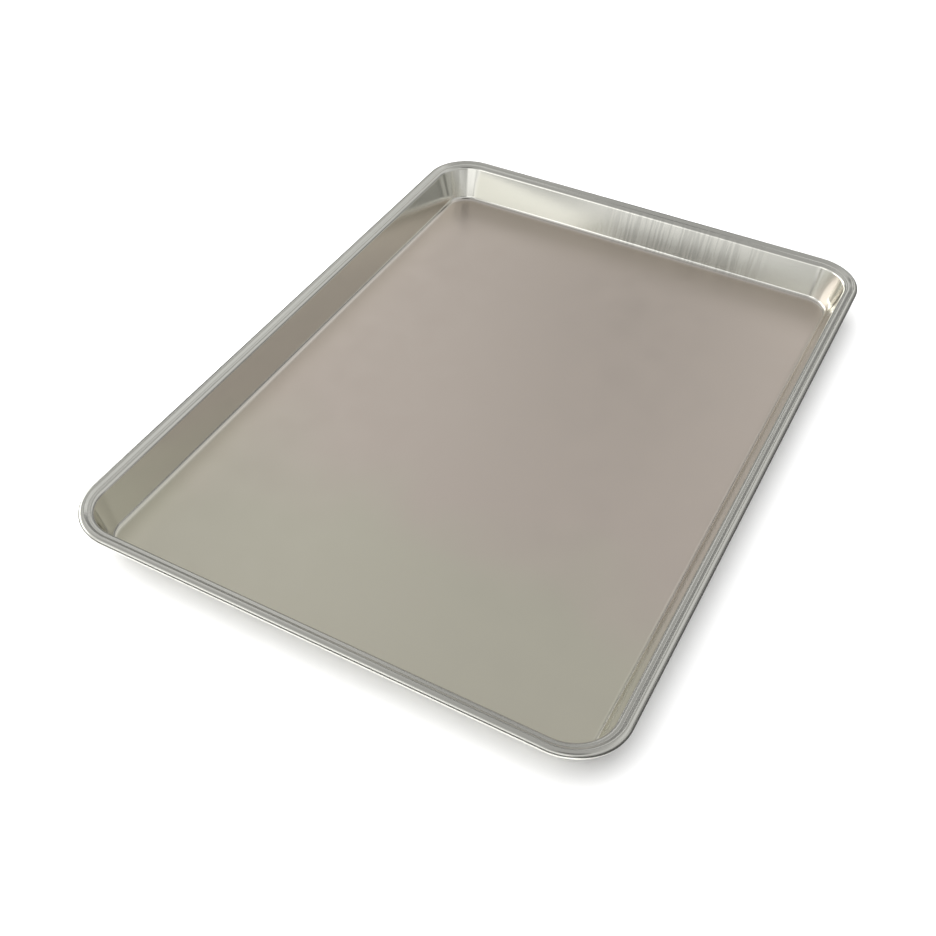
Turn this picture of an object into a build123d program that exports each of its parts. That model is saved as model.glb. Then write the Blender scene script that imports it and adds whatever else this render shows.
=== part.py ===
from build123d import *
from math import cos, radians, sin, tan
import os

# A jelly roll pan: one blank of aluminium sheet, drawn to a shallow tray, with its rim rolled over a wire.
# X runs across the pan, Y along it and Z up. The origin is the middle of the underside of the floor.
# All lengths are in millimetres and all angles in degrees.

# Outer size, over the rolled rim
RIM_LENGTH = 409.0
RIM_WIDTH = 284.5
RIM_CORNER_RADIUS = 28.0
PAN_HEIGHT = 23.8

# The drawn sheet: its radii are those of the face that the dough lies on
SHEET = 0.9
WALL_LEAN = 17.0
FLOOR_FILLET = 3.5
LIP_RADIUS = 2.5
FLANGE_WIDTH = 0.6

# The bead that the rim is rolled to: its crown stands a step above the flange, and a sloping flank joins them.
# From the crown the sheet is wrapped round the wire, and the last of it stays straight, up to the raw edge.
RIM_STEP = 1.0
FLANK_SLOPE = 30.0
VALLEY_RADIUS = 1.0
CURL_WRAP = 184.0
CURL_TAIL = 1.5

# The wire in the bead, and the gap where its two ends meet
WIRE_DIAMETER = 2.6
WIRE_CLEARANCE = 0.05
WIRE_END_GAP = 0.5

# How far the swept rim reaches in over the flat floor before the floor sheet takes over
FLOOR_STRIP = 2.0

# Worked out from the sizes above
wall_rise = 90.0 - WALL_LEAN
bead_radius = WIRE_DIAMETER / 2 + WIRE_CLEARANCE + SHEET
bead_height = PAN_HEIGHT - bead_radius
flank_bends = bead_radius + VALLEY_RADIUS
flank_rise = RIM_STEP - flank_bends * (1 - cos(radians(FLANK_SLOPE)))
flank_length = flank_rise / sin(radians(FLANK_SLOPE))
flank_reach = flank_bends * sin(radians(FLANK_SLOPE)) + flank_length * cos(radians(FLANK_SLOPE))
flange_height = PAN_HEIGHT - RIM_STEP
curved_rise = (FLOOR_FILLET + LIP_RADIUS) * (1 - cos(radians(wall_rise)))
wall_height = flange_height - SHEET - curved_rise
wall_length = wall_height / cos(radians(WALL_LEAN))

# How far in from the rim's outer edge each stretch of the section begins
flange_inset = bead_radius + flank_reach
lip_inset = flange_inset + FLANGE_WIDTH
wall_inset = lip_inset + LIP_RADIUS * sin(radians(wall_rise))
fillet_inset = wall_inset + wall_height * tan(radians(WALL_LEAN))
floor_inset = fillet_inset + FLOOR_FILLET * sin(radians(wall_rise))
strip_inset = floor_inset + FLOOR_STRIP


def rim_path(inset, height, end_gap):
    """The rounded rectangle that runs round the rim, from the middle of the right side and back to it."""
    turn = RIM_CORNER_RADIUS - inset
    across = RIM_WIDTH - 2 * RIM_CORNER_RADIUS
    along = RIM_LENGTH - 2 * RIM_CORNER_RADIUS
    half_run = (along - end_gap) / 2
    place = Vector(RIM_WIDTH / 2 - inset, end_gap / 2, height)
    heading = Vector(0, 1, 0)
    edges = []
    for run_length in (half_run, across, along, across):
        run = PolarLine(place, run_length, direction=heading)
        corner = JernArc(run @ 1, run % 1, turn, 90)
        edges += [run, corner]
        place = corner @ 1
        heading = corner % 1
    edges.append(PolarLine(place, half_run, direction=heading))
    return Wire(edges)


def sheet_section():
    """The section of the sheet at the right side, from the floor to the raw edge under the rolled bead."""
    start = (RIM_WIDTH / 2 - strip_inset, SHEET)
    strip = PolarLine(start, FLOOR_STRIP, direction=(1, 0))
    fillet = JernArc(strip @ 1, strip % 1, FLOOR_FILLET, wall_rise)
    wall = PolarLine(fillet @ 1, wall_length, direction=fillet % 1)
    lip = JernArc(wall @ 1, wall % 1, LIP_RADIUS, -wall_rise)
    flange = PolarLine(lip @ 1, FLANGE_WIDTH, direction=lip % 1)
    valley = JernArc(flange @ 1, flange % 1, VALLEY_RADIUS, FLANK_SLOPE)
    flank = PolarLine(valley @ 1, flank_length, direction=valley % 1)
    curl = JernArc(flank @ 1, flank % 1, bead_radius, -FLANK_SLOPE - CURL_WRAP)
    tail = PolarLine(curl @ 1, CURL_TAIL, direction=curl % 1)
    upper_face = Wire([strip, fillet, wall, lip, flange, valley, flank, curl, tail])
    outline = upper_face.offset_2d(SHEET, kind=Kind.ARC, side=Side.RIGHT, closed=True)
    return Plane.XZ * make_face(outline)


def make_pan_body():
    """The drawn sheet: the section swept round the rim, closed by the flat floor."""
    rim = sweep(sheet_section(), path=rim_path(bead_radius, bead_height, 0))
    floor_width = RIM_WIDTH - 2 * strip_inset
    floor_length = RIM_LENGTH - 2 * strip_inset
    floor_outline = RectangleRounded(floor_width, floor_length, RIM_CORNER_RADIUS - strip_inset)
    floor = extrude(floor_outline, SHEET)
    return rim + floor


def make_rim_wire():
    """One length of wire that follows the middle of the bead, with its ends butted at the right side."""
    path = rim_path(bead_radius, bead_height, WIRE_END_GAP)
    section = Plane(path @ 0, z_dir=path % 0) * Circle(WIRE_DIAMETER / 2)
    return sweep(section, path=path)


os.makedirs("parts", exist_ok=True)
export_step(make_pan_body(), "parts/pan_body.step")
export_step(make_rim_wire(), "parts/rim_wire.step")
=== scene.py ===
import logging
from dataclasses import dataclass, field, replace
from enum import Enum
from math import atan2, copysign, cos, degrees, pi, radians, sin, tan

import bmesh
import bpy
from mathutils import Matrix, Vector


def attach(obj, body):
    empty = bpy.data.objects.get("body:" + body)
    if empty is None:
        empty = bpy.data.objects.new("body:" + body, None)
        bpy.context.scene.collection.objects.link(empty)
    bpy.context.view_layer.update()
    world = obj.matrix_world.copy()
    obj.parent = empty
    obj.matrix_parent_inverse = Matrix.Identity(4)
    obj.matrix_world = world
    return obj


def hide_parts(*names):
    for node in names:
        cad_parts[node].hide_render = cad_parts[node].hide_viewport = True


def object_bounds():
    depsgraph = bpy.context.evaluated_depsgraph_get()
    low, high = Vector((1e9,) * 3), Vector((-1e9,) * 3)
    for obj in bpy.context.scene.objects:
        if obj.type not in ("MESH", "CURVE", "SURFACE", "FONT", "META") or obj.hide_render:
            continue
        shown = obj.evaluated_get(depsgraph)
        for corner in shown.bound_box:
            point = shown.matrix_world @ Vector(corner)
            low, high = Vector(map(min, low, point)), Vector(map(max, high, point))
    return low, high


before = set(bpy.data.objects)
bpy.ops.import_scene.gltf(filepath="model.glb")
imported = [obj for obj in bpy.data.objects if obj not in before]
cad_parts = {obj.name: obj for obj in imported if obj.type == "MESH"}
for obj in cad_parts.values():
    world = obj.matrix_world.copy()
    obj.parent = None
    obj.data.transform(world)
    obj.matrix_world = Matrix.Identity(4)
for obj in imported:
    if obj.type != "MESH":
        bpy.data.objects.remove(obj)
cad_low, cad_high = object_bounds()

MM = 0.001
QUARTER_TURN = radians(90)
NO_ANGLE = 1e-6
log = logging.getLogger("jelly_roll_pan")


class Side(Enum):
    """The four straight sides of the pan, in the order in which the sheet is carried round them."""

    RIGHT = 0
    BACK = 1
    LEFT = 2
    FRONT = 3

    @property
    def heading(self) -> Vector:
        """The direction of travel along this side, with the inside of the pan on the left hand."""
        angle = QUARTER_TURN * (self.value + 1)
        return Vector((round(cos(angle)), round(sin(angle)), 0))


@dataclass(frozen=True)
class Stretch:
    """One stretch of the sheet's section: a straight run, or a bend of constant radius.

    Its length is measured along the traced face. Its turn is positive where the section curls upwards.
    """

    name: str
    length: float
    turn: float = 0.0
    steps: int = 1

    @property
    def radius(self) -> float:
        """The radius of a bend."""
        return self.length / abs(self.turn)

    def behind(self, thickness: float) -> "Stretch":
        """Gives the same stretch on the far face of the sheet, walked the other way.

        Args:
            thickness: the thickness of the sheet.

        Returns:
            The stretch of the far face.
        """
        if not self.turn:
            return replace(self, name="under_" + self.name)
        radius = self.radius + copysign(thickness, self.turn)
        return replace(self, name="under_" + self.name, length=radius * abs(self.turn), turn=-self.turn)


@dataclass(frozen=True)
class SheetSection:
    """The section of the drawn sheet, from the flat floor to the raw edge that is curled round the wire.

    Lengths are in metres and angles in radians. The radii are those of the face that the dough lies on.
    """

    height: float
    sheet: float = 0.9 * MM
    floor_strip: float = 2.0 * MM
    wall_lean: float = radians(17.0)
    floor_fillet: float = 3.5 * MM
    lip_radius: float = 2.5 * MM
    flange_width: float = 0.6 * MM
    rim_step: float = 1.0 * MM
    flank_slope: float = radians(30.0)
    valley_radius: float = 1.0 * MM
    bead_radius: float = 2.25 * MM
    curl_wrap: float = radians(184.0)
    curl_tail: float = 1.5 * MM
    facet: float = radians(4.5)
    least_facets: int = 4
    straight_steps: int = 2
    wall_steps: int = 8
    edge_steps: int = 6

    @property
    def wall_rise(self) -> float:
        """The slope of the wall above the horizontal."""
        return QUARTER_TURN - self.wall_lean

    @property
    def flank_length(self) -> float:
        """The length of the straight flank between the valley and the bead."""
        bends = (self.bead_radius + self.valley_radius) * (1 - cos(self.flank_slope))
        return (self.rim_step - bends) / sin(self.flank_slope)

    @property
    def wall_height(self) -> float:
        """The height of the flat of the wall, between its two bends."""
        bends = (self.floor_fillet + self.lip_radius) * (1 - cos(self.wall_rise))
        return self.height - self.rim_step - self.sheet - bends

    @property
    def strip_inset(self) -> float:
        """How far in from the rim's outer edge the section starts, on the flat floor."""
        flank = (self.bead_radius + self.valley_radius) * sin(self.flank_slope)
        flank += self.flank_length * cos(self.flank_slope)
        rim = self.bead_radius + flank
        bends = (self.floor_fillet + self.lip_radius) * sin(self.wall_rise)
        wall = self.wall_height * tan(self.wall_lean)
        return rim + self.flange_width + bends + wall + self.floor_strip

    def bend(self, name: str, radius: float, turn: float) -> Stretch:
        """Makes a bend whose facets are no coarser than the section's.

        Args:
            name: what the bend is.
            radius: its radius on the upper face.
            turn: its angle, positive where it curls upwards.

        Returns:
            The bend as a stretch of the section.
        """
        return Stretch(name, radius * abs(turn), turn, max(self.least_facets, round(abs(turn) / self.facet)))

    def stretches(self) -> list[Stretch]:
        """Lists the stretches of the upper face, from the flat floor to the raw edge.

        Returns:
            The stretches in order.
        """
        return [
            Stretch("strip", self.floor_strip, steps=self.straight_steps),
            self.bend("fillet", self.floor_fillet, self.wall_rise),
            Stretch("wall", self.wall_height / cos(self.wall_lean), steps=self.wall_steps),
            self.bend("lip", self.lip_radius, -self.wall_rise),
            Stretch("flange", self.flange_width, steps=self.straight_steps),
            self.bend("valley", self.valley_radius, self.flank_slope),
            Stretch("flank", self.flank_length, steps=self.straight_steps),
            self.bend("curl", self.bead_radius, -self.flank_slope - self.curl_wrap),
            Stretch("tail", self.curl_tail, steps=self.straight_steps),
        ]


@dataclass
class SectionPen:
    """Draws a section vertex by vertex across the pan's right side, and notes where its stretches start."""

    mesh: bmesh.types.BMesh
    tip: bmesh.types.BMVert
    across: bmesh.types.BMLayerItem
    hold: float
    heading: float = 0.0
    travelled: float = 0.0
    stations: dict[str, float] = field(default_factory=dict)

    def note(self, length: float) -> None:
        """Adds to the way travelled, and writes it on the vertex at the tip."""
        self.travelled += length
        self.tip[self.across] = self.travelled

    def run(self, length: float, steps: int) -> None:
        """Draws a straight run, with a short piece at each end that keeps the shading of its flat true.

        Args:
            length: the length of the run.
            steps: how many pieces it has, the short ones among them.
        """
        direction = Vector((cos(self.heading), 0, sin(self.heading)))
        for piece in held_pieces(length, steps, self.hold):
            made = bmesh.ops.extrude_vert_indiv(self.mesh, verts=[self.tip])
            self.tip = made["verts"][0]
            bmesh.ops.translate(self.mesh, verts=[self.tip], vec=direction * piece)
            self.note(piece)

    def bend(self, radius: float, turn: float, steps: int) -> None:
        """Draws a bend in equal steps.

        Args:
            radius: the radius of the bend.
            turn: its whole angle, positive where it curls upwards.
            steps: how many facets it has.
        """
        left = Vector((-sin(self.heading), 0, cos(self.heading)))
        centre = self.tip.co + left * copysign(radius, turn)
        step = turn / steps
        for _ in range(steps):
            made = bmesh.ops.spin(self.mesh, geom=[self.tip], cent=centre, axis=(0, -1, 0), angle=step,
                                  steps=1)
            self.tip = next(item for item in made["geom_last"] if isinstance(item, bmesh.types.BMVert))
            self.note(radius * abs(step))
        self.heading += turn

    def follow(self, stretch: Stretch) -> None:
        """Draws one stretch and notes where it starts."""
        self.stations[stretch.name] = self.travelled
        if stretch.turn:
            self.bend(stretch.radius, stretch.turn, stretch.steps)
        else:
            self.run(stretch.length, stretch.steps)


def held_pieces(length: float, steps: int, hold: float) -> list[float]:
    """Divides a straight length into pieces, of which the first and the last are short.

    Args:
        length: the whole length.
        steps: the number of pieces.
        hold: the length of each end piece.

    Returns:
        The lengths of the pieces, in order.
    """
    if steps < 3 or length < 4 * hold:
        return [length / steps] * steps
    inner = steps - 2
    return [hold] + [(length - 2 * hold) / inner] * inner + [hold]


@dataclass(frozen=True)
class RimOutline:
    """The rounded rectangle of the rim's outer edge, in metres."""

    width: float
    length: float
    corner_radius: float = 28.0 * MM

    @property
    def core(self) -> Vector:
        """Half the sides of the rectangle whose corners are the centres of the rim's corners."""
        return Vector((self.width / 2 - self.corner_radius, self.length / 2 - self.corner_radius, 0))

    @property
    def girth(self) -> float:
        """The way round the outer edge."""
        return 4 * (self.core.x + self.core.y) + 2 * pi * self.corner_radius

    def side_length(self, side: Side) -> float:
        """The straight length of one side."""
        return 2 * (self.core.y if side in (Side.RIGHT, Side.LEFT) else self.core.x)

    def corner_centre(self, side: Side) -> Vector:
        """The centre of the corner that ends a side."""
        signs = {Side.RIGHT: (1, 1), Side.BACK: (-1, 1), Side.LEFT: (-1, -1), Side.FRONT: (1, -1)}[side]
        return Vector((self.core.x * signs[0], self.core.y * signs[1], 0))

    def way_round(self, place: Vector) -> float:
        """Measures how far round the rim a point lies, from the middle of the right side.

        Args:
            place: any point beside or on the rim.

        Returns:
            The way along the outer edge, from 0 to the girth.
        """
        core = self.core
        held = Vector((max(-core.x, min(core.x, place.x)), max(-core.y, min(core.y, place.y)), 0))
        out = Vector((place.x - held.x, place.y - held.y, 0))
        angle = atan2(out.y, out.x) % (2 * pi)
        turned = self.corner_radius * angle
        if angle <= NO_ANGLE or angle >= 2 * pi - NO_ANGLE:
            return held.y % self.girth
        if angle <= QUARTER_TURN:
            return core.y + turned + (core.x - held.x)
        if angle <= 2 * QUARTER_TURN:
            return core.y + 2 * core.x + turned + (core.y - held.y)
        if angle <= 3 * QUARTER_TURN:
            return 3 * core.y + 2 * core.x + turned + (held.x + core.x)
        return 3 * core.y + 4 * core.x + turned + (held.y + core.y)


class NodeTree:
    """Adds nodes and links to a shader tree in short calls."""

    def __init__(self, tree: bpy.types.NodeTree) -> None:
        """Holds the tree and empties it."""
        self.tree = tree
        tree.nodes.clear()

    def add(self, kind: str, inputs: dict | None = None, **settings: object) -> bpy.types.Node:
        """Adds a node, sets its fields and fills or links its inputs.

        Args:
            kind: the node's type name.
            inputs: values or sockets by input name or number.
            settings: the node's own fields.

        Returns:
            The new node.
        """
        node = self.tree.nodes.new(kind)
        for name, value in settings.items():
            setattr(node, name, value)
        for name, value in (inputs or {}).items():
            socket = node.inputs[name]
            if isinstance(value, bpy.types.NodeSocket):
                self.tree.links.new(value, socket)
            else:
                socket.default_value = value
        return node

    def math(self, operation: str, *values: object) -> bpy.types.NodeSocket:
        """Adds a Math node and returns its result.

        Args:
            operation: the name of the operation.
            values: up to three numbers or sockets.

        Returns:
            The socket of the result.
        """
        return self.add("ShaderNodeMath", dict(enumerate(values)), operation=operation).outputs[0]

    def ramp(self, value: bpy.types.NodeSocket, low: float, high: float, start: float = 0.0,
             end: float = 1.0) -> bpy.types.NodeSocket:
        """Maps a value from low..high to start..end with soft ends.

        Args:
            value: the socket that is mapped.
            low: the value at which the change starts.
            high: the value at which it ends.
            start: the result up to low.
            end: the result from high.

        Returns:
            The socket of the result.
        """
        inputs = {"Value": value, "From Min": low, "From Max": high, "To Min": start, "To Max": end}
        return self.add("ShaderNodeMapRange", inputs, interpolation_type="SMOOTHSTEP").outputs[0]

    def mix(self, factor: object, first: object, second: object) -> bpy.types.NodeSocket:
        """Blends two colours.

        Args:
            factor: the share of the second colour.
            first: the first colour.
            second: the second colour.

        Returns:
            The socket of the blend.
        """
        inputs = {0: factor, 6: first, 7: second}
        return self.add("ShaderNodeMix", inputs, data_type="RGBA").outputs[2]

    def blend(self, factor: bpy.types.NodeSocket, first: object, second: object) -> bpy.types.NodeSocket:
        """Blends two numbers.

        Args:
            factor: the share of the second number.
            first: the first number.
            second: the second number.

        Returns:
            The socket of the blend.
        """
        return self.math("MULTIPLY_ADD", factor, self.math("SUBTRACT", second, first), first)

    def finish_metal(self, colour: bpy.types.NodeSocket, roughness: bpy.types.NodeSocket,
                     height: bpy.types.NodeSocket) -> None:
        """Ends a metal's tree with its shader.

        Args:
            colour: its colour.
            roughness: its roughness.
            height: its relief, in metres.
        """
        bump = self.add("ShaderNodeBump", {"Height": height, "Strength": 1.0, "Distance": 1.0}).outputs[0]
        inputs = {"Base Color": colour, "Metallic": 1.0, "Roughness": roughness, "Normal": bump}
        shader = self.add("ShaderNodeBsdfPrincipled", inputs)
        self.add("ShaderNodeOutputMaterial", {"Surface": shader.outputs[0]})


class GroupBuilder(NodeTree):
    """A shader node group with named inputs and outputs."""

    def __init__(self, name: str, inputs: dict[str, object], outputs: dict[str, str]) -> None:
        """Makes the group and its sockets.

        Args:
            name: the group's name.
            inputs: default values by input name; a three-number value makes a vector socket.
            outputs: socket types by output name.
        """
        super().__init__(bpy.data.node_groups.new(name, "ShaderNodeTree"))
        for label, value in inputs.items():
            kind = "NodeSocketVector" if isinstance(value, tuple) else "NodeSocketFloat"
            socket = self.tree.interface.new_socket(label, in_out="INPUT", socket_type=kind)
            if value != (0, 0, 0):
                socket.default_value = value
        for label, kind in outputs.items():
            self.tree.interface.new_socket(label, in_out="OUTPUT", socket_type=kind)
        self.given = self.tree.nodes.new("NodeGroupInput").outputs
        self.result = self.tree.nodes.new("NodeGroupOutput").inputs

    def put(self, label: str, socket: bpy.types.NodeSocket) -> None:
        """Links a socket to one of the group's outputs."""
        self.tree.links.new(socket, self.result[label])


@dataclass
class SurfaceEffects:
    """The surface effects that the finishes share, each a node group that is built once."""

    grain: bpy.types.NodeTree = None
    mottle: bpy.types.NodeTree = None
    streaks: bpy.types.NodeTree = None
    specks: bpy.types.NodeTree = None

    def build(self) -> "SurfaceEffects":
        """Builds the groups.

        Returns:
            The object itself, with its groups in place.
        """
        self.grain = self.build_grain()
        self.mottle = self.build_mottle()
        self.streaks = self.build_streaks()
        self.specks = self.build_specks()
        return self

    @staticmethod
    def build_grain() -> bpy.types.NodeTree:
        """Fine parallel rolling lines, stretched along the first axis of the vector.

        Returns:
            The node group, with a Height output from 0 to 1.
        """
        group = GroupBuilder(
            "Rolling_grain",
            {"Vector": (0, 0, 0), "Lines per metre": 6000.0, "Stretch": 0.02},
            {"Height": "NodeSocketFloat"},
        )
        apart = group.add("ShaderNodeSeparateXYZ", {0: group.given["Vector"]}).outputs
        slow = group.math("MULTIPLY", group.given["Lines per metre"], group.given["Stretch"])
        along = group.math("MULTIPLY", apart[0], slow)
        across = group.math("MULTIPLY", apart[1], group.given["Lines per metre"])
        place = group.add("ShaderNodeCombineXYZ", {0: along, 1: across, 2: apart[2]}).outputs[0]
        inputs = {"Vector": place, "Scale": 1.0, "Detail": 3.0, "Roughness": 0.6}
        noise = group.add("ShaderNodeTexNoise", inputs)
        group.put("Height", noise.outputs["Fac"])
        return group.tree

    @staticmethod
    def build_mottle() -> bpy.types.NodeTree:
        """Slow cloudy changes, as heat and handling leave on bare aluminium.

        Returns:
            The node group, with a Cloud output that is centred on 0.5.
        """
        group = GroupBuilder(
            "Cloudy_mottle",
            {"Vector": (0, 0, 0), "Clouds per metre": 12.0, "Contrast": 1.6},
            {"Cloud": "NodeSocketFloat"},
        )
        inputs = {"Vector": group.given["Vector"], "Scale": group.given["Clouds per metre"]}
        inputs.update({"Detail": 2.5, "Roughness": 0.5, "Distortion": 0.4})
        noise = group.add("ShaderNodeTexNoise", inputs)
        centred = group.math("SUBTRACT", noise.outputs["Fac"], 0.5)
        spread = group.math("MULTIPLY_ADD", centred, group.given["Contrast"], 0.5)
        group.put("Cloud", group.add("ShaderNodeClamp", {"Value": spread}).outputs[0])
        return group.tree

    @staticmethod
    def build_streaks() -> bpy.types.NodeTree:
        """Upright streaks that the die leaves on a drawn wall, side by side round the rim.

        Returns:
            The node group, with a Height output from 0 to 1.
        """
        group = GroupBuilder(
            "Draw_streaks",
            {"Vector": (0, 0, 0), "Streaks per metre": 300.0, "Stretch": 0.04, "Crispness": 0.5},
            {"Height": "NodeSocketFloat"},
        )
        apart = group.add("ShaderNodeSeparateXYZ", {0: group.given["Vector"]}).outputs
        sideways = group.math("MULTIPLY", apart[0], group.given["Streaks per metre"])
        upright = group.math("MULTIPLY", apart[1], group.given["Streaks per metre"])
        upright = group.math("MULTIPLY", upright, group.given["Stretch"])
        place = group.add("ShaderNodeCombineXYZ", {0: sideways, 1: upright}).outputs[0]
        inputs = {"Vector": place, "Scale": 1.0, "Detail": 2.0, "Roughness": 0.55}
        noise = group.add("ShaderNodeTexNoise", inputs)
        softest = 0.30
        gain = 0.25
        spread = group.math("SUBTRACT", softest, group.math("MULTIPLY", group.given["Crispness"], gain))
        low = group.math("SUBTRACT", 0.5, spread)
        high = group.math("ADD", 0.5, spread)
        group.put("Height", group.ramp(noise.outputs["Fac"], low, high))
        return group.tree

    @staticmethod
    def build_specks() -> bpy.types.NodeTree:
        """Tiny scattered specks, as crumbs of scale and nicks leave on soft sheet.

        Returns:
            The node group, with a Mask output from 0 to 1.
        """
        group = GroupBuilder(
            "Scattered_specks",
            {"Vector": (0, 0, 0), "Cells per metre": 140.0, "Size": 0.05, "Share": 0.15},
            {"Mask": "NodeSocketFloat"},
        )
        inputs = {"Vector": group.given["Vector"], "Scale": group.given["Cells per metre"]}
        cells = group.add("ShaderNodeTexVoronoi", inputs)
        chance = group.add("ShaderNodeSeparateColor", {0: cells.outputs["Color"]}).outputs[0]
        chosen = group.math("LESS_THAN", chance, group.given["Share"])
        near = group.ramp(cells.outputs["Distance"], 0.0, group.given["Size"], 1.0, 0.0)
        group.put("Mask", group.math("MULTIPLY", chosen, near))
        return group.tree


def place_group(tree: NodeTree, group: bpy.types.NodeTree, inputs: dict) -> bpy.types.NodeSocket:
    """Places a shared group in a material and returns its first output.

    Args:
        tree: the material's tree.
        group: the shared node group.
        inputs: its values or links, by name.

    Returns:
        The first output socket.
    """
    node = tree.tree.nodes.new("ShaderNodeGroup")
    node.node_tree = group
    for name, value in inputs.items():
        socket = node.inputs[name]
        if isinstance(value, bpy.types.NodeSocket):
            tree.tree.links.new(value, socket)
        else:
            socket.default_value = value
    return node.outputs[0]


@dataclass(frozen=True)
class SheetZones:
    """Masks from 0 to 1 for the zones of the sheet, as sockets of its material."""

    past_fillet: bpy.types.NodeSocket
    past_lip: bpy.types.NodeSocket
    behind: bpy.types.NodeSocket
    on_wall: bpy.types.NodeSocket

    @classmethod
    def along(cls, tree: NodeTree, wrap: bpy.types.NodeSocket, stations: dict[str, float]) -> "SheetZones":
        """Marks the zones by the way along the section.

        Args:
            tree: the material's tree.
            wrap: the way round the rim and the way across the sheet, in metres.
            stations: the ways along the section at which its stretches start.

        Returns:
            The masks.
        """
        across = tree.add("ShaderNodeSeparateXYZ", {0: wrap}).outputs[1]
        past_fillet = tree.ramp(across, stations["fillet"], stations["wall"])
        past_lip = tree.ramp(across, stations["lip"], stations["flange"])
        behind = tree.ramp(across, stations["under_lip"], stations["under_wall"])
        on_wall = tree.math("MULTIPLY", past_fillet, tree.math("SUBTRACT", 1.0, past_lip))
        return cls(past_fillet, past_lip, behind, on_wall)


@dataclass(frozen=True)
class DrawnAluminium:
    """Bare aluminium sheet: satin on the floor and the rim, burnished by the die on the walls.

    Heights and ways are in metres. The chatter patch lies on the back wall, by its way round the rim, and its
    lines are darkened there with painted shade.
    """

    rosy: tuple[float, float, float, float] = (0.850, 0.757, 0.672, 1.0)
    green: tuple[float, float, float, float] = (0.825, 0.793, 0.662, 1.0)
    plain: tuple[float, float, float, float] = (0.785, 0.779, 0.722, 1.0)
    speck: tuple[float, float, float, float] = (0.880, 0.870, 0.840, 1.0)
    # Painted shade: the colour that the chatter lines on the back wall are darkened towards, and how far.
    chatter_shade_colour: tuple[float, float, float, float] = (0.450, 0.448, 0.420, 1.0)
    green_front: float = -0.150
    rosy_behind: float = -0.050
    tint_drift: float = 0.090
    speck_strength: float = 0.5
    chatter_shade_strength: float = 0.35
    floor_roughness: float = 0.38
    wall_roughness: float = 0.13
    rim_roughness: float = 0.24
    satin_spread: float = 0.03
    satin_clouds: float = 60.0
    grain_height: float = 0.0015 * MM
    rim_lines: float = 3500.0
    rim_line_stretch: float = 0.006
    waves: float = 25.0
    wave_height: float = 0.020 * MM
    streaks: float = 220.0
    streak_height: float = 0.002 * MM
    chatter_lines: float = 520.0
    chatter_crispness: float = 0.9
    chatter_height: float = 0.003 * MM
    chatter_middle: float = 0.305
    chatter_core: float = 0.030
    chatter_reach: float = 0.065

    def floor_colour(self, tree: NodeTree, effects: SurfaceEffects,
                     place: bpy.types.NodeSocket) -> bpy.types.NodeSocket:
        """Blends a rosier tint towards the back of the floor with a greener one towards the front, along an
        edge that slow clouds make wavy.

        Args:
            tree: the material's tree.
            effects: the shared surface effects.
            place: the place on the pan, in metres.

        Returns:
            The socket of the colour.
        """
        forward = tree.add("ShaderNodeSeparateXYZ", {0: place}).outputs[1]
        cloud = place_group(tree, effects.mottle, {"Vector": place})
        drift = tree.math("MULTIPLY", tree.math("SUBTRACT", cloud, 0.5), self.tint_drift)
        # The floor's colour turns from greener in front to rosier behind, by its place on the pan; the clouds
        # only waver the edge between them.
        tint_share = tree.ramp(tree.math("ADD", forward, drift), self.green_front, self.rosy_behind)
        specks = place_group(tree, effects.specks, {"Vector": place})
        specks = tree.math("MULTIPLY", specks, self.speck_strength)
        return tree.mix(specks, tree.mix(tint_share, self.green, self.rosy), self.speck)

    def chatter(self, tree: NodeTree, effects: SurfaceEffects,
                wrap: bpy.types.NodeSocket) -> bpy.types.NodeSocket:
        """Marks the patch of upright chatter lines that the die leaves on the back wall.

        Args:
            tree: the material's tree.
            effects: the shared surface effects.
            wrap: the way round the rim and the way across the sheet, in metres.

        Returns:
            The socket of the mask, from 0 to 1.
        """
        inputs = {"Vector": wrap, "Streaks per metre": self.chatter_lines}
        inputs["Crispness"] = self.chatter_crispness
        lines = place_group(tree, effects.streaks, inputs)
        way = tree.add("ShaderNodeSeparateXYZ", {0: wrap}).outputs[0]
        aside = tree.math("ABSOLUTE", tree.math("SUBTRACT", way, self.chatter_middle))
        patch = tree.ramp(aside, self.chatter_core, self.chatter_reach, 1.0, 0.0)
        return tree.math("MULTIPLY", lines, patch)

    def colour(self, tree: NodeTree, floor: bpy.types.NodeSocket, chatter: bpy.types.NodeSocket,
               zones: SheetZones) -> bpy.types.NodeSocket:
        """Blends the floor's colour into the plain walls and rim, and darkens the chatter lines with painted
        shade.

        Args:
            tree: the material's tree.
            floor: the colour of the floor.
            chatter: the mask of the chatter lines.
            zones: the zones of the sheet.

        Returns:
            The socket of the colour.
        """
        # Painted shade: the chatter lines are darkened in the colour, standing in for the dark lines that
        # their relief shows in the wall's burnished reflection.
        painted_chatter_shade = tree.math("MULTIPLY", tree.math("MULTIPLY", chatter, zones.on_wall), self.chatter_shade_strength)
        return tree.mix(painted_chatter_shade, tree.mix(zones.past_fillet, floor, self.plain), self.chatter_shade_colour)

    def roughness(self, tree: NodeTree, effects: SurfaceEffects, place: bpy.types.NodeSocket,
                  zones: SheetZones) -> bpy.types.NodeSocket:
        """Blends the floor's satin, the burnished walls, the rim and the satin of the far face.

        Args:
            tree: the material's tree.
            effects: the shared surface effects.
            place: the place on the pan, in metres.
            zones: the zones of the sheet.

        Returns:
            The socket of the roughness.
        """
        clouds = place_group(tree, effects.mottle, {"Vector": place, "Clouds per metre": self.satin_clouds})
        smoothest = self.floor_roughness - self.satin_spread
        satin = tree.ramp(clouds, 0.0, 1.0, smoothest, self.floor_roughness + self.satin_spread)
        walled = tree.blend(zones.on_wall, satin, self.wall_roughness)
        rimmed = tree.blend(zones.past_lip, walled, self.rim_roughness)
        return tree.blend(zones.behind, rimmed, satin)

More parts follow.
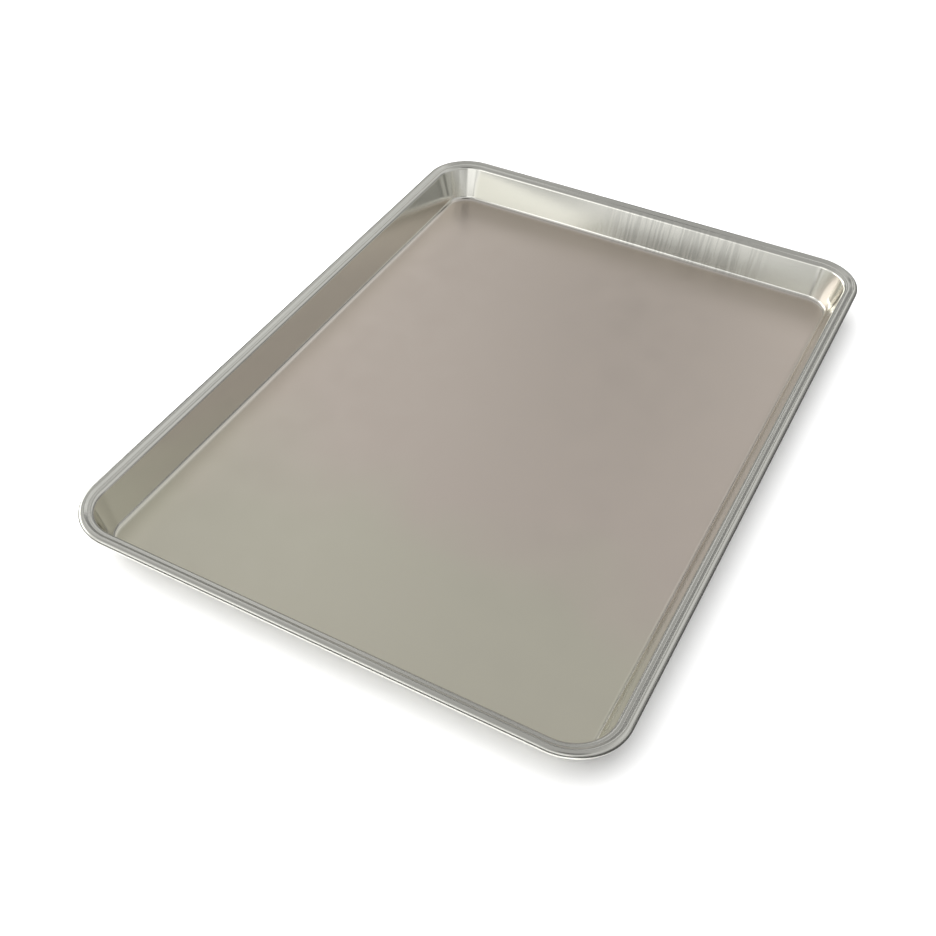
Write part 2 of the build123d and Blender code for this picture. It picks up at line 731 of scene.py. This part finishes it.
    def height(self, tree: NodeTree, effects: SurfaceEffects, place: bpy.types.NodeSocket,
               wrap: bpy.types.NodeSocket, chatter: bpy.types.NodeSocket,
               zones: SheetZones) -> bpy.types.NodeSocket:
        """Adds up the rolling lines, and on the walls the waves, streaks and chatter lines of the die.

        Args:
            tree: the material's tree.
            effects: the shared surface effects.
            place: the place on the pan, in metres.
            wrap: the way round the rim and the way across the sheet, in metres.
            chatter: the mask of the chatter lines.
            zones: the zones of the sheet.

        Returns:
            The socket of the height, in metres.
        """
        rim_inputs = {"Vector": wrap, "Lines per metre": self.rim_lines, "Stretch": self.rim_line_stretch}
        flat_grain = place_group(tree, effects.grain, {"Vector": place})
        flat_grain = tree.math("MULTIPLY", flat_grain, tree.math("SUBTRACT", 1.0, zones.past_fillet))
        rim_grain = place_group(tree, effects.grain, rim_inputs)
        grain = tree.math("MULTIPLY_ADD", rim_grain, zones.past_fillet, flat_grain)
        waves = place_group(tree, effects.mottle, {"Vector": wrap, "Clouds per metre": self.waves})
        soft_inputs = {"Vector": wrap, "Streaks per metre": self.streaks, "Crispness": 0.0}
        soft = place_group(tree, effects.streaks, soft_inputs)
        walls = tree.math("MULTIPLY", waves, self.wave_height)
        walls = tree.math("MULTIPLY_ADD", soft, self.streak_height, walls)
        walls = tree.math("MULTIPLY_ADD", chatter, self.chatter_height, walls)
        walls = tree.math("MULTIPLY", walls, zones.on_wall)
        return tree.math("MULTIPLY_ADD", grain, self.grain_height, walls)

    def material(self, effects: SurfaceEffects, stations: dict[str, float]) -> bpy.types.Material:
        """Makes the material.

        Args:
            effects: the shared surface effects.
            stations: the ways along the section at which its stretches start.

        Returns:
            The material.
        """
        made = bpy.data.materials.new("Drawn_aluminium")
        made.use_nodes = True
        tree = NodeTree(made.node_tree)
        place = tree.add("ShaderNodeTexCoord").outputs["Object"]
        wrap = tree.add("ShaderNodeUVMap", uv_map=PanShell.MAP_NAME).outputs[0]
        zones = SheetZones.along(tree, wrap, stations)
        chatter = self.chatter(tree, effects, wrap)
        colour = self.colour(tree, self.floor_colour(tree, effects, place), chatter, zones)
        roughness = self.roughness(tree, effects, place, zones)
        tree.finish_metal(colour, roughness, self.height(tree, effects, place, wrap, chatter, zones))
        return made


@dataclass(frozen=True)
class GalvanisedSteel:
    """The zinc-coated wire inside the bead: dull, with faint spangle."""

    bright: tuple[float, float, float, float] = (0.60, 0.61, 0.62, 1.0)
    dull: tuple[float, float, float, float] = (0.42, 0.43, 0.44, 1.0)
    bright_roughness: float = 0.32
    dull_roughness: float = 0.55
    spangles: float = 400.0
    spangle_height: float = 0.01 * MM

    def material(self, effects: SurfaceEffects) -> bpy.types.Material:
        """Makes the material.

        Args:
            effects: the shared surface effects.

        Returns:
            The material.
        """
        made = bpy.data.materials.new("Galvanised_steel")
        made.use_nodes = True
        tree = NodeTree(made.node_tree)
        place = tree.add("ShaderNodeTexCoord").outputs["Object"]
        spangle = place_group(tree, effects.mottle, {"Vector": place, "Clouds per metre": self.spangles})
        colour = tree.mix(spangle, self.bright, self.dull)
        roughness = tree.ramp(spangle, 0.0, 1.0, self.bright_roughness, self.dull_roughness)
        tree.finish_metal(colour, roughness, tree.math("MULTIPLY", spangle, self.spangle_height))
        return made


@dataclass
class PanShell:
    """The drawn sheet: floor, walls, lip and the bead that is rolled round the wire."""

    outline: RimOutline
    section: SheetSection
    corner_steps: int = 26
    long_steps: int = 16
    short_steps: int = 12
    hold: float = 0.3 * MM
    side_hold: float = 1.2 * MM
    weld: float = 0.009 * MM
    piece: bpy.types.Object = None
    stations: dict[str, float] = field(default_factory=dict)
    MAP_NAME = "Round_and_across"

    def draw_section(self, mesh: bmesh.types.BMesh, across: bmesh.types.BMLayerItem) -> None:
        """Draws the closed section of the sheet at the middle of the right side, open only towards the floor.

        Args:
            mesh: the mesh that takes the section.
            across: the layer that holds the way along the section.
        """
        section = self.section
        start = Vector((self.outline.width / 2 - section.strip_inset, 0, section.sheet))
        tip = bmesh.ops.create_vert(mesh, co=start)["vert"][0]
        pen = SectionPen(mesh, tip, across, self.hold)
        stretches = section.stretches()
        for stretch in stretches:
            pen.follow(stretch)
        pen.follow(Stretch("raw_edge", section.sheet / 2 * pi, -pi, section.edge_steps))
        for stretch in reversed(stretches):
            pen.follow(stretch.behind(section.sheet))
        self.stations = pen.stations

    def carry_round(self, mesh: bmesh.types.BMesh) -> None:
        """Carries the section round the four sides and corners, and joins its end to its start."""
        front = list(mesh.edges)
        half = self.outline.side_length(Side.RIGHT) / 2
        for side in Side:
            whole = self.outline.side_length(side)
            steps = self.long_steps if side in (Side.RIGHT, Side.LEFT) else self.short_steps
            if side is Side.RIGHT:
                front = self.carry_along(mesh, front, side.heading, half, steps // 2)
            else:
                front = self.carry_along(mesh, front, side.heading, whole, steps)
            front = self.carry_corner(mesh, front, self.outline.corner_centre(side))
        self.carry_along(mesh, front, Side.RIGHT.heading, half, self.long_steps // 2)
        bmesh.ops.remove_doubles(mesh, verts=mesh.verts, dist=self.weld)

    def carry_along(self, mesh: bmesh.types.BMesh, front: list[bmesh.types.BMEdge], heading: Vector,
                    length: float, steps: int) -> list[bmesh.types.BMEdge]:
        """Extrudes the section along a straight side.

        Args:
            mesh: the mesh.
            front: the edges of the section so far.
            heading: the direction of travel.
            length: the length of the side.
            steps: the number of pieces.

        Returns:
            The edges of the section at the end of the side.
        """
        for piece in held_pieces(length, steps, self.side_hold):
            made = bmesh.ops.extrude_edge_only(mesh, edges=front)["geom"]
            verts = [item for item in made if isinstance(item, bmesh.types.BMVert)]
            front = [item for item in made if isinstance(item, bmesh.types.BMEdge)]
            bmesh.ops.translate(mesh, verts=verts, vec=heading * piece)
        return front

    def carry_corner(self, mesh: bmesh.types.BMesh, front: list[bmesh.types.BMEdge],
                     centre: Vector) -> list[bmesh.types.BMEdge]:
        """Spins the section round a corner.

        Args:
            mesh: the mesh.
            front: the edges of the section so far.
            centre: the corner's centre.

        Returns:
            The edges of the section at the end of the corner.
        """
        made = bmesh.ops.spin(mesh, geom=front, cent=centre, axis=(0, 0, 1), angle=QUARTER_TURN,
                              steps=self.corner_steps)
        return [item for item in made["geom_last"] if isinstance(item, bmesh.types.BMEdge)]

    def close_floor(self, mesh: bmesh.types.BMesh) -> None:
        """Fills the flat floor, above and below."""
        bottom = self.section.sheet / 2
        rims = [edge for edge in mesh.edges if edge.is_boundary]
        upper = [edge for edge in rims if edge.verts[0].co.z > bottom]
        lower = [edge for edge in rims if edge.verts[0].co.z < bottom]
        for rim in (upper, lower):
            bmesh.ops.edgeloop_fill(mesh, edges=rim)
        bmesh.ops.recalc_face_normals(mesh, faces=mesh.faces)

    def map_surface(self, mesh: bmesh.types.BMesh, across: bmesh.types.BMLayerItem) -> None:
        """Writes the way round the rim and the way along the section as a map, in metres.

        Args:
            mesh: the finished mesh.
            across: the layer that holds the way along the section.
        """
        layer = mesh.loops.layers.uv.new(self.MAP_NAME)
        girth = self.outline.girth
        for face in mesh.faces:
            middle = self.outline.way_round(face.calc_center_median())
            for loop in face.loops:
                way = self.outline.way_round(loop.vert.co)
                way += girth * round((middle - way) / girth)
                loop[layer].uv = (way, loop.vert[across])
            face.smooth = True

    def build(self) -> None:
        """Builds the mesh of the sheet."""
        mesh = bmesh.new()
        across = mesh.verts.layers.float.new("across")
        self.draw_section(mesh, across)
        self.carry_round(mesh)
        self.close_floor(mesh)
        self.map_surface(mesh, across)
        data = bpy.data.meshes.new("pan_shell")
        mesh.to_mesh(data)
        mesh.free()
        self.piece = bpy.data.objects.new("pan_shell", data)
        bpy.context.scene.collection.objects.link(self.piece)
        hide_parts("pan_body")
        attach(self.piece, "root")

    def dress(self, finish: DrawnAluminium, effects: SurfaceEffects) -> None:
        """Gives the sheet its finish."""
        self.piece.data.materials.append(finish.material(effects, self.stations))


@dataclass
class RimWire:
    """The wire inside the bead, which keeps its CAD shape."""

    piece: bpy.types.Object

    def dress(self, finish: GalvanisedSteel, effects: SurfaceEffects) -> None:
        """Gives the wire its finish."""
        self.piece.data.materials.clear()
        self.piece.data.materials.append(finish.material(effects))


@dataclass(frozen=True)
class SkyPanel:
    """A soft rectangular light or shade on the studio's sky, seen from the pan.

    Azimuth 0 is in front of the pan and 90 on its right. All bounds are in degrees. The lower edge is
    crisper where it lies close to the horizon, because the upright walls mirror that edge.
    """

    what: str
    azimuth: float
    half_width: float
    low: float
    high: float
    light: float
    feather: float
    horizon_band: float = 1.0
    horizon_crispness: float = 0.4

    @property
    def low_feather(self) -> float:
        """The softness of the lower edge, in degrees."""
        return self.feather * (self.horizon_crispness if self.low < self.horizon_band else 1.0)

    def share(self, tree: NodeTree, azimuth: bpy.types.NodeSocket,
              elevation: bpy.types.NodeSocket) -> bpy.types.NodeSocket:
        """Marks the part of the sky that the panel covers.

        Args:
            tree: the sky's tree.
            azimuth: the azimuth of the direction, in degrees.
            elevation: its elevation, in degrees.

        Returns:
            The socket of the mask, from 0 to 1.
        """
        offset = tree.math("SUBTRACT", azimuth, self.azimuth)
        aside = tree.math("ABSOLUTE", tree.math("WRAP", offset, 180.0, -180.0))
        within = tree.ramp(aside, self.half_width - self.feather, self.half_width + self.feather, 1.0, 0.0)
        above = tree.ramp(elevation, self.low - self.low_feather, self.low + self.low_feather)
        below = tree.ramp(elevation, self.high - self.feather, self.high + self.feather, 1.0, 0.0)
        return tree.math("MULTIPLY", tree.math("MULTIPLY", within, above), below)


STUDIO_SKY = (
    SkyPanel("far wall, left", -31, 8, 0.4, 4, 1.0, 1.0),
    SkyPanel("dark post", -19.5, 3.5, 0.4, 4, 0.25, 1.0),
    SkyPanel("far wall, lit", -12, 4, 0.4, 4, 1.1, 1.0),
    SkyPanel("far wall, shaded", -4, 4, 0.4, 4, 0.6, 1.0),
    SkyPanel("far wall, right", 6, 6, 0.4, 4, 1.5, 1.0),
    SkyPanel("front window", -24, 12, 4, 18, 2.1, 2.5),
    SkyPanel("front wall", 10, 21, 4, 18, 1.55, 2.5),
    SkyPanel("dark doorway", 48, 18, 4, 18, 0.3, 2.5),
    SkyPanel("front left, above", -36, 24, 18, 38, 1.05, 3),
    SkyPanel("front, above", -1, 11, 18, 38, 0.6, 3),
    SkyPanel("front right, above", 38, 28, 18, 38, 1.0, 3),
    SkyPanel("front ceiling", -35, 45, 38, 62, 0.5, 4),
    SkyPanel("dark ceiling, front right", 35, 25, 38, 62, 0.1, 4),
    SkyPanel("behind, low", 180, 60, 0.5, 24, 0.3, 2.5),
    SkyPanel("behind left, lamp", -147, 13, 25, 40, 0.95, 1.5),
    SkyPanel("behind left, shade", -165, 4.5, 25, 40, 0.06, 1.5),
    SkyPanel("far left, shade", -127, 8, 25, 40, 0.06, 1.5),
    SkyPanel("behind", 180, 10, 25, 40, 1.05, 1.5),
    SkyPanel("behind right", 147, 23, 25, 40, 0.75, 1.5),
    SkyPanel("behind, high", -165, 15, 40, 58, 0.45, 3),
    SkyPanel("behind left, high", -130, 20, 40, 58, 0.75, 3),
    SkyPanel("behind right, high", 145, 35, 40, 58, 0.9, 3),
    SkyPanel("left lamp, low", -90, 30, 0.5, 22, 3.4, 3),
    SkyPanel("right, low", 90, 30, 0.5, 22, 0.65, 3),
)


@dataclass
class Studio:
    """The plain pale floor, the soft sky that the metal mirrors, and the key light.

    Elevations are in degrees. The metal mirrors only a patch of the paper close round the pan.
    """

    panels: tuple[SkyPanel, ...] = STUDIO_SKY
    horizon_light: float = 1.3
    middle_light: float = 0.65
    zenith_light: float = 0.52
    ground_light: float = 0.14
    middle_elevation: float = 42.0
    zenith_start: float = 46.0
    zenith_elevation: float = 72.0
    paper_white: float = 0.93
    paper_roughness: float = 0.9
    paper_reach: float = 6.0
    paper_level: float = -0.2 * MM
    table_margin: float = 26.0 * MM
    right_margin: float = 5.0 * MM
    table_level: float = -0.1 * MM
    key_place: tuple[float, float, float] = (-0.78, -0.15, 1.85)
    key_size: float = 5.0
    key_energy: float = 150.0

    def build_sky(self) -> None:
        """Builds the sky that lights the pan from all round, with its panels laid over one another."""
        world = bpy.data.worlds.new("Studio_sky")
        bpy.context.scene.world = world
        world.use_nodes = True
        tree = NodeTree(world.node_tree)
        where = tree.add("ShaderNodeTexCoord").outputs["Generated"]
        apart = tree.add("ShaderNodeSeparateXYZ", {0: where}).outputs
        behind = tree.math("MULTIPLY", apart[1], -1.0)
        azimuth = tree.math("MULTIPLY", tree.math("ARCTAN2", apart[0], behind), degrees(1))
        elevation = tree.math("MULTIPLY", tree.math("ARCSINE", apart[2]), degrees(1))
        light = tree.ramp(elevation, 0.0, self.middle_elevation, self.horizon_light, self.middle_light)
        fall = self.zenith_light - self.middle_light
        top = tree.ramp(elevation, self.zenith_start, self.zenith_elevation, 0.0, fall)
        light = tree.math("ADD", light, top)
        for panel in self.panels:
            light = tree.blend(panel.share(tree, azimuth, elevation), light, panel.light)
        light = tree.blend(tree.math("GREATER_THAN", elevation, 0.0), self.ground_light, light)
        background = tree.add("ShaderNodeBackground", {"Strength": light})
        tree.add("ShaderNodeOutputWorld", {"Surface": background.outputs[0]})

    def build_paper(self) -> bpy.types.Material:
        """Makes the plain white paper of the floor.

        Returns:
            The material.
        """
        paper = bpy.data.materials.new("Pale_paper")
        paper.use_nodes = True
        shader = paper.node_tree.nodes["Principled BSDF"]
        shader.inputs["Base Color"].default_value = (*[self.paper_white] * 3, 1.0)
        shader.inputs["Roughness"].default_value = self.paper_roughness
        shader.inputs["Specular IOR Level"].default_value = 0.0
        return paper

    @staticmethod
    def lay_sheet(name: str, margin: float, right_margin: float, level: float,
                  material: bpy.types.Material) -> bpy.types.Object:
        """Lays a flat sheet under the pan.

        Args:
            name: the sheet's name.
            margin: how far it reaches past the pan in front, behind and on the left.
            right_margin: how far it reaches past the pan on the right.
            level: its height.
            material: its material.

        Returns:
            The sheet.
        """
        spread = cad_high - cad_low + Vector((margin + right_margin, 2 * margin, 0))
        middle = Vector(((right_margin - margin) / 2, 0, level))
        mesh = bmesh.new()
        bmesh.ops.create_grid(mesh, x_segments=1, y_segments=1, size=0.5)
        bmesh.ops.scale(mesh, vec=(spread.x, spread.y, 1), verts=mesh.verts)
        bmesh.ops.translate(mesh, vec=middle, verts=mesh.verts)
        data = bpy.data.meshes.new(name)
        mesh.to_mesh(data)
        mesh.free()
        data.materials.append(material)
        sheet = bpy.data.objects.new(name, data)
        bpy.context.scene.collection.objects.link(sheet)
        return sheet

    def build_floor(self) -> None:
        """Lays the pale floor that the camera sees, and the patch round the pan that the metal mirrors."""
        paper = self.build_paper()
        floor = self.lay_sheet("studio_floor", self.paper_reach, self.paper_reach, self.paper_level, paper)
        floor.visible_glossy = False
        table = self.lay_sheet("table_top", self.table_margin, self.right_margin, self.table_level, paper)
        table.visible_camera = False
        table.visible_diffuse = False
        table.visible_shadow = False

    def build_key(self) -> None:
        """Hangs the soft key light, which the metal doesn't mirror."""
        data = bpy.data.lights.new("key", "AREA")
        data.shape = "DISK"
        data.size = self.key_size
        data.energy = self.key_energy
        lamp = bpy.data.objects.new("key", data)
        lamp.location = self.key_place
        lamp.rotation_mode = "QUATERNION"
        lamp.rotation_quaternion = (-Vector(self.key_place)).to_track_quat("-Z", "Y")
        lamp.visible_glossy = False
        bpy.context.scene.collection.objects.link(lamp)


@dataclass(frozen=True)
class PhotoCamera:
    """The camera of the photograph, in metres and degrees, in a square image.

    Azimuth is how far it stands to the right of the pan's front, elevation how steeply it looks down and
    roll how far it is tipped to its left.
    """

    place: tuple[float, float, float] = (0.200429, -0.485967, 0.445961)
    azimuth: float = 29.9263
    elevation: float = 43.0818
    roll: float = 0.1391
    sensor: float = 36.0
    lens: float = 47.61
    shift: float = 0.0933
    nearest: float = 0.01

    def build(self) -> None:
        """Sets up the scene's camera."""
        data = bpy.data.cameras.new("photo_camera")
        data.sensor_width = self.sensor
        data.lens = self.lens
        data.shift_x = self.shift
        data.clip_start = self.nearest
        camera = bpy.data.objects.new("photo_camera", data)
        turn = Matrix.Rotation(radians(self.azimuth), 4, "Z")
        turn @= Matrix.Rotation(QUARTER_TURN - radians(self.elevation), 4, "X")
        turn @= Matrix.Rotation(radians(self.roll), 4, "Z")
        camera.matrix_world = Matrix.Translation(self.place) @ turn
        bpy.context.scene.collection.objects.link(camera)
        bpy.context.scene.camera = camera


def main() -> None:
    """Builds and dresses the pan, then the studio round it."""
    logging.basicConfig(level=logging.INFO, format="%(message)s")
    size = cad_high - cad_low
    effects = SurfaceEffects().build()
    shell = PanShell(RimOutline(size.x, size.y), SheetSection(size.z))
    shell.build()
    shell.dress(DrawnAluminium(), effects)
    log.info("pan_shell: %d faces", len(shell.piece.data.polygons))
    wire = RimWire(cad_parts["rim_wire"])
    wire.dress(GalvanisedSteel(), effects)
    log.info("rim_wire: CAD node kept")
    studio = Studio()
    studio.build_sky()
    studio.build_floor()
    studio.build_key()
    PhotoCamera().build()
    bpy.context.scene.view_settings.view_transform = "Standard"


if __name__ == "__main__":
    main()
